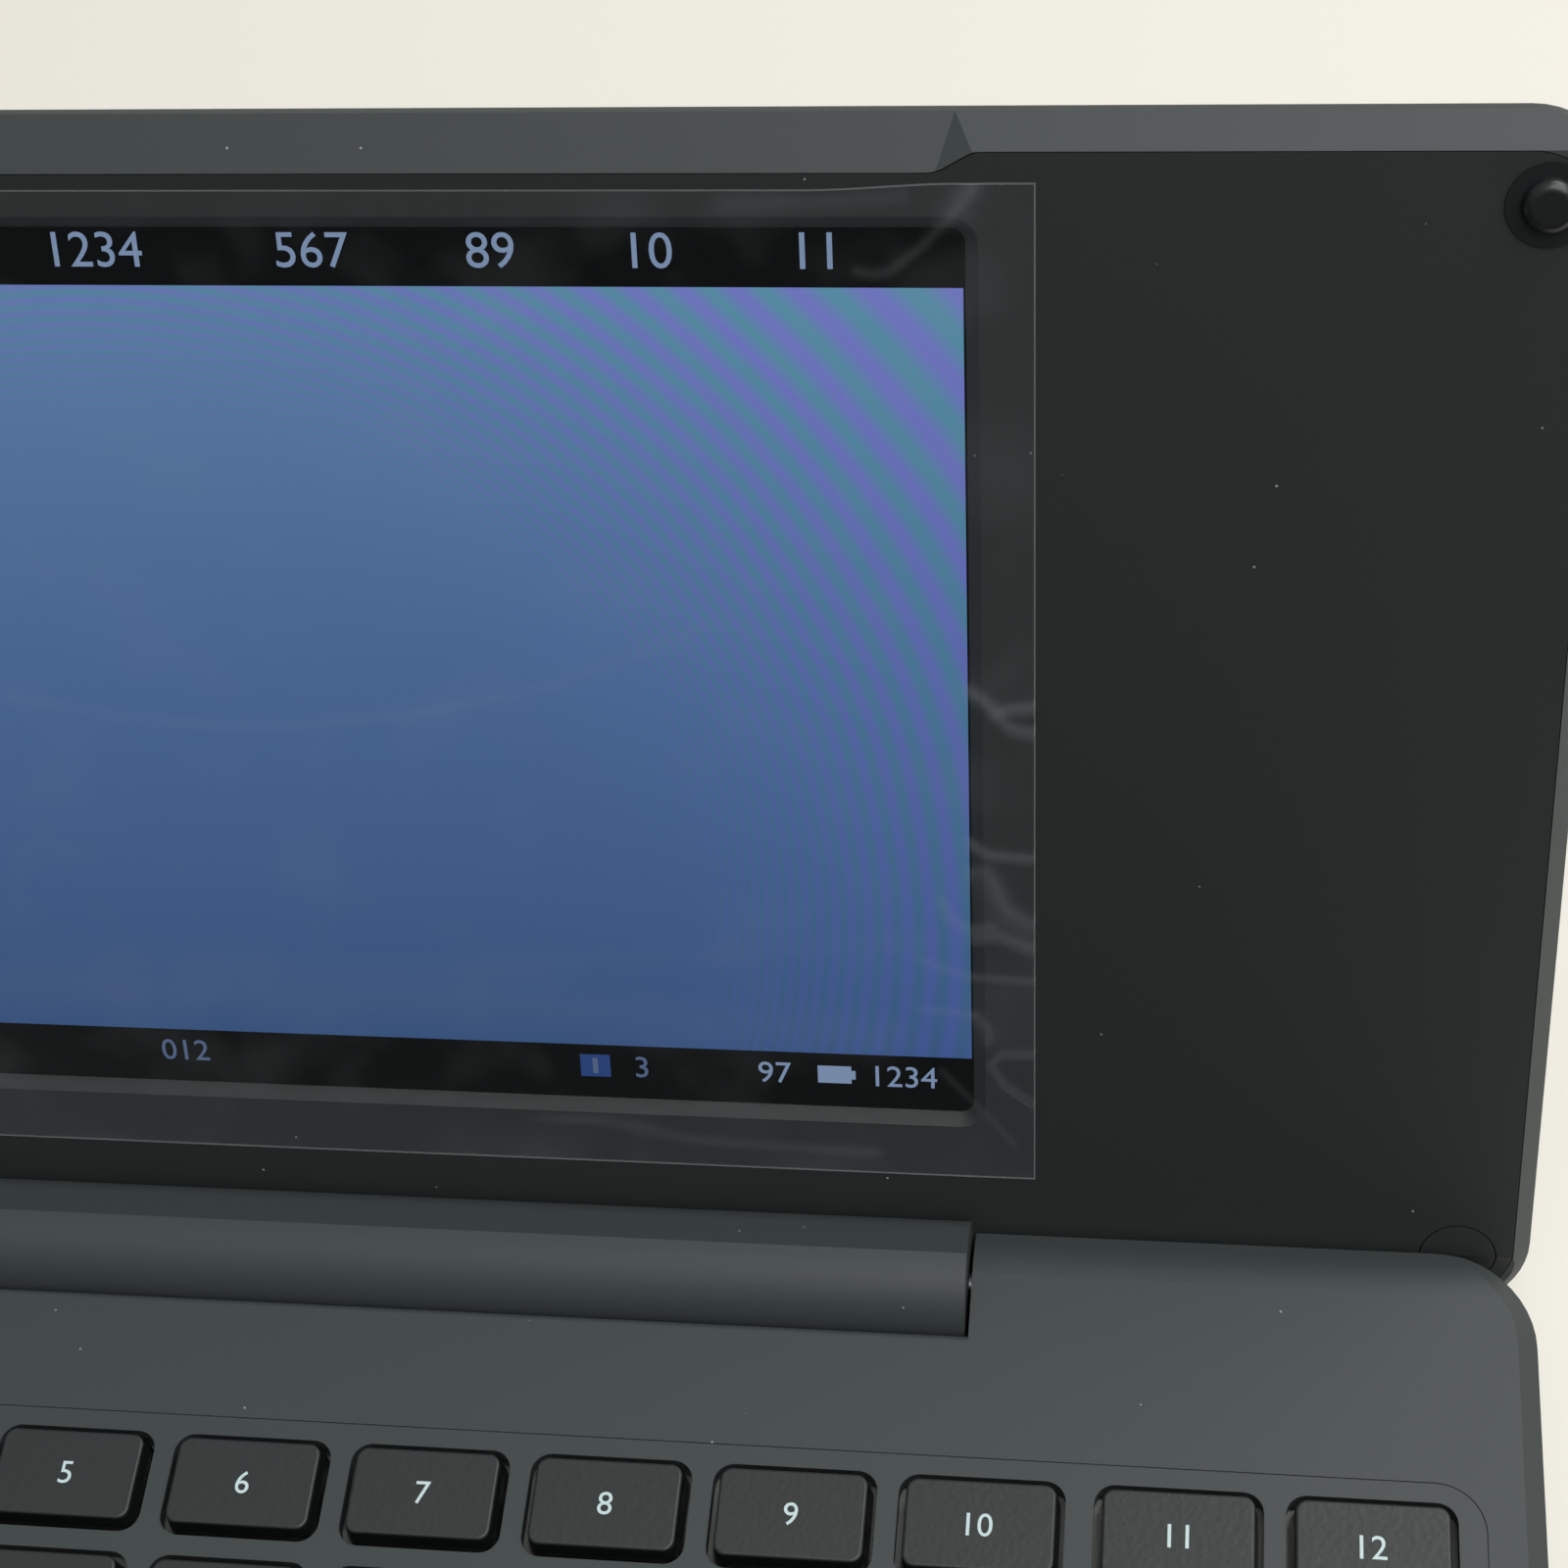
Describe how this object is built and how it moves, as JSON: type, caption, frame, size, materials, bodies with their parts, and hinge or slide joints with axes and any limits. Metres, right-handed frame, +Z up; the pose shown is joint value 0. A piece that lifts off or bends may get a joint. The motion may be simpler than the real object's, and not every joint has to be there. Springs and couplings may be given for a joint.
{
  "type": "portable word processor",
  "caption": "Portable word processor: thin clamshell with a full keyboard and a wide display in a lid on a barrel hinge.",
  "frame": {"origin": "centre of the bounding box on the table, with the lid open as in use", "axes": "+X to the right along the hinge, +Y to the rear, +Z up"},
  "size_m": [0.263, 0.1712, 0.1032],
  "materials": {
    "case_paint": "satin grey paint",
    "lid_face": "dark satin",
    "key_plastic": "fine grained",
    "screen": "lit display",
    "clear_film": "clear film",
    "bumper_rubber": "matt",
    "steel": "plain",
    "circuit_board": "solder mask",
    "chip": "moulded",
    "membrane": "clear sheet",
    "dome_rubber": "matt",
    "link_plastic": "plain",
    "battery_wrap": "shrink wrap",
    "lamp": "clear"
  },
  "bodies": {
    "base": {"bottom_case": "case_paint", "deck_cover": "case_paint", "keyboard_plate": "steel", "keyboard_membrane": "membrane", "rubber_domes": "dome_rubber", "key_links": "link_plastic", "main_board": "circuit_board", "board_chips": "chip", "battery_pack": "battery_wrap", "usb_socket": "steel", "card_socket": "steel", "power_lamp": "lamp", "rubber_feet": "bumper_rubber", "case_screws": "steel", "hinge_brackets": "steel", "hinge_pins": "steel", "keyboard_ribbon": "membrane"},
    "lid": {"lid_back_cover": "case_paint", "lid_front_frame": "lid_face", "screen_panel": "screen", "panel_board": "circuit_board", "protective_film": "clear_film", "lid_bumpers": "bumper_rubber", "lid_screw_caps": "bumper_rubber", "lid_screws": "steel", "hinge_barrel": "case_paint", "hinge_arms": "steel"},
    "power": {"power_button": "case_paint"},
    "key_esc": {"key_esc": "key_plastic"},
    "key_menu": {"key_menu": "key_plastic"},
    "key_f1": {"key_f1": "key_plastic"},
    "key_f2": {"key_f2": "key_plastic"},
    "key_f3": {"key_f3": "key_plastic"},
    "key_f4": {"key_f4": "key_plastic"},
    "key_f5": {"key_f5": "key_plastic"},
    "key_f6": {"key_f6": "key_plastic"},
    "key_f7": {"key_f7": "key_plastic"},
    "key_f8": {"key_f8": "key_plastic"},
    "key_f9": {"key_f9": "key_plastic"},
    "key_f10": {"key_f10": "key_plastic"},
    "key_insert": {"key_insert": "key_plastic"},
    "key_delete": {"key_delete": "key_plastic"},
    "key_backspace": {"key_backspace": "key_plastic"},
    "key_tab": {"key_tab": "key_plastic"},
    "key_caps": {"key_caps": "key_plastic"},
    "key_shift_left": {"key_shift_left": "key_plastic"},
    "key_shift_right": {"key_shift_right": "key_plastic"},
    "key_ctrl": {"key_ctrl": "key_plastic"},
    "key_alt": {"key_alt": "key_plastic"},
    "key_space": {"key_space": "key_plastic"},
    "key_up": {"key_up": "key_plastic"},
    "key_left": {"key_left": "key_plastic"},
    "key_down": {"key_down": "key_plastic"},
    "key_right": {"key_right": "key_plastic"},
    "key_enter": {"key_enter": "key_plastic"},
    "bank_digits": {"keys_digits": "key_plastic"},
    "bank_upper": {"keys_upper": "key_plastic"},
    "bank_home": {"keys_home": "key_plastic"},
    "bank_lower": {"keys_lower": "key_plastic"},
    "bank_bottom": {"keys_bottom": "key_plastic"}
  },
  "joints": [
    {"name": "lid_hinge", "type": "hinge", "parent": "base", "child": "lid", "pos_m": [0, 0.0258, 0.0078], "axis": [1, 0, 0], "range_deg": [-3, 117.6]},
    {"name": "power_press", "type": "slide", "parent": "base", "child": "power", "axis": [0, 0, -1], "range_m": [0, 0.0006], "stiffness_N_per_m": 900, "springref_m": -0.0005},
    {"name": "press_esc", "type": "slide", "parent": "base", "child": "key_esc", "axis": [0, 0, -1], "range_m": [0, 0.0015], "stiffness_N_per_m": 300, "springref_m": -0.0006},
    {"name": "press_menu", "type": "slide", "parent": "base", "child": "key_menu", "axis": [0, 0, -1], "range_m": [0, 0.0015], "stiffness_N_per_m": 300, "springref_m": -0.0006},
    {"name": "press_f1", "type": "slide", "parent": "base", "child": "key_f1", "axis": [0, 0, -1], "range_m": [0, 0.0015], "stiffness_N_per_m": 300, "springref_m": -0.0006},
    {"name": "press_f2", "type": "slide", "parent": "base", "child": "key_f2", "axis": [0, 0, -1], "range_m": [0, 0.0015], "stiffness_N_per_m": 300, "springref_m": -0.0006},
    {"name": "press_f3", "type": "slide", "parent": "base", "child": "key_f3", "axis": [0, 0, -1], "range_m": [0, 0.0015], "stiffness_N_per_m": 300, "springref_m": -0.0006},
    {"name": "press_f4", "type": "slide", "parent": "base", "child": "key_f4", "axis": [0, 0, -1], "range_m": [0, 0.0015], "stiffness_N_per_m": 300, "springref_m": -0.0006},
    {"name": "press_f5", "type": "slide", "parent": "base", "child": "key_f5", "axis": [0, 0, -1], "range_m": [0, 0.0015], "stiffness_N_per_m": 300, "springref_m": -0.0006},
    {"name": "press_f6", "type": "slide", "parent": "base", "child": "key_f6", "axis": [0, 0, -1], "range_m": [0, 0.0015], "stiffness_N_per_m": 300, "springref_m": -0.0006},
    {"name": "press_f7", "type": "slide", "parent": "base", "child": "key_f7", "axis": [0, 0, -1], "range_m": [0, 0.0015], "stiffness_N_per_m": 300, "springref_m": -0.0006},
    {"name": "press_f8", "type": "slide", "parent": "base", "child": "key_f8", "axis": [0, 0, -1], "range_m": [0, 0.0015], "stiffness_N_per_m": 300, "springref_m": -0.0006},
    {"name": "press_f9", "type": "slide", "parent": "base", "child": "key_f9", "axis": [0, 0, -1], "range_m": [0, 0.0015], "stiffness_N_per_m": 300, "springref_m": -0.0006},
    {"name": "press_f10", "type": "slide", "parent": "base", "child": "key_f10", "axis": [0, 0, -1], "range_m": [0, 0.0015], "stiffness_N_per_m": 300, "springref_m": -0.0006},
    {"name": "press_insert", "type": "slide", "parent": "base", "child": "key_insert", "axis": [0, 0, -1], "range_m": [0, 0.0015], "stiffness_N_per_m": 300, "springref_m": -0.0006},
    {"name": "press_delete", "type": "slide", "parent": "base", "child": "key_delete", "axis": [0, 0, -1], "range_m": [0, 0.0015], "stiffness_N_per_m": 300, "springref_m": -0.0006},
    {"name": "press_backspace", "type": "slide", "parent": "base", "child": "key_backspace", "axis": [0, 0, -1], "range_m": [0, 0.0015], "stiffness_N_per_m": 300, "springref_m": -0.0006},
    {"name": "press_tab", "type": "slide", "parent": "base", "child": "key_tab", "axis": [0, 0, -1], "range_m": [0, 0.0015], "stiffness_N_per_m": 300, "springref_m": -0.0006},
    {"name": "press_caps", "type": "slide", "parent": "base", "child": "key_caps", "axis": [0, 0, -1], "range_m": [0, 0.0015], "stiffness_N_per_m": 300, "springref_m": -0.0006},
    {"name": "press_shift_left", "type": "slide", "parent": "base", "child": "key_shift_left", "axis": [0, 0, -1], "range_m": [0, 0.0015], "stiffness_N_per_m": 300, "springref_m": -0.0006},
    {"name": "press_shift_right", "type": "slide", "parent": "base", "child": "key_shift_right", "axis": [0, 0, -1], "range_m": [0, 0.0015], "stiffness_N_per_m": 300, "springref_m": -0.0006},
    {"name": "press_ctrl", "type": "slide", "parent": "base", "child": "key_ctrl", "axis": [0, 0, -1], "range_m": [0, 0.0015], "stiffness_N_per_m": 300, "springref_m": -0.0006},
    {"name": "press_alt", "type": "slide", "parent": "base", "child": "key_alt", "axis": [0, 0, -1], "range_m": [0, 0.0015], "stiffness_N_per_m": 300, "springref_m": -0.0006},
    {"name": "press_space", "type": "slide", "parent": "base", "child": "key_space", "axis": [0, 0, -1], "range_m": [0, 0.0015], "stiffness_N_per_m": 300, "springref_m": -0.0006},
    {"name": "press_up", "type": "slide", "parent": "base", "child": "key_up", "axis": [0, 0, -1], "range_m": [0, 0.0015], "stiffness_N_per_m": 300, "springref_m": -0.0006},
    {"name": "press_left", "type": "slide", "parent": "base", "child": "key_left", "axis": [0, 0, -1], "range_m": [0, 0.0015], "stiffness_N_per_m": 300, "springref_m": -0.0006},
    {"name": "press_down", "type": "slide", "parent": "base", "child": "key_down", "axis": [0, 0, -1], "range_m": [0, 0.0015], "stiffness_N_per_m": 300, "springref_m": -0.0006},
    {"name": "press_right", "type": "slide", "parent": "base", "child": "key_right", "axis": [0, 0, -1], "range_m": [0, 0.0015], "stiffness_N_per_m": 300, "springref_m": -0.0006},
    {"name": "press_enter", "type": "slide", "parent": "base", "child": "key_enter", "axis": [0, 0, -1], "range_m": [0, 0.0015], "stiffness_N_per_m": 300, "springref_m": -0.0006},
    {"name": "press_digits", "type": "slide", "parent": "base", "child": "bank_digits", "axis": [0, 0, -1], "range_m": [0, 0.0015], "stiffness_N_per_m": 4200, "springref_m": -0.0006},
    {"name": "press_upper", "type": "slide", "parent": "base", "child": "bank_upper", "axis": [0, 0, -1], "range_m": [0, 0.0015], "stiffness_N_per_m": 3600, "springref_m": -0.0006},
    {"name": "press_home", "type": "slide", "parent": "base", "child": "bank_home", "axis": [0, 0, -1], "range_m": [0, 0.0015], "stiffness_N_per_m": 3600, "springref_m": -0.0006},
    {"name": "press_lower", "type": "slide", "parent": "base", "child": "bank_lower", "axis": [0, 0, -1], "range_m": [0, 0.0015], "stiffness_N_per_m": 3300, "springref_m": -0.0006},
    {"name": "press_bottom", "type": "slide", "parent": "base", "child": "bank_bottom", "axis": [0, 0, -1], "range_m": [0, 0.0015], "stiffness_N_per_m": 1500, "springref_m": -0.0006}
  ]
}
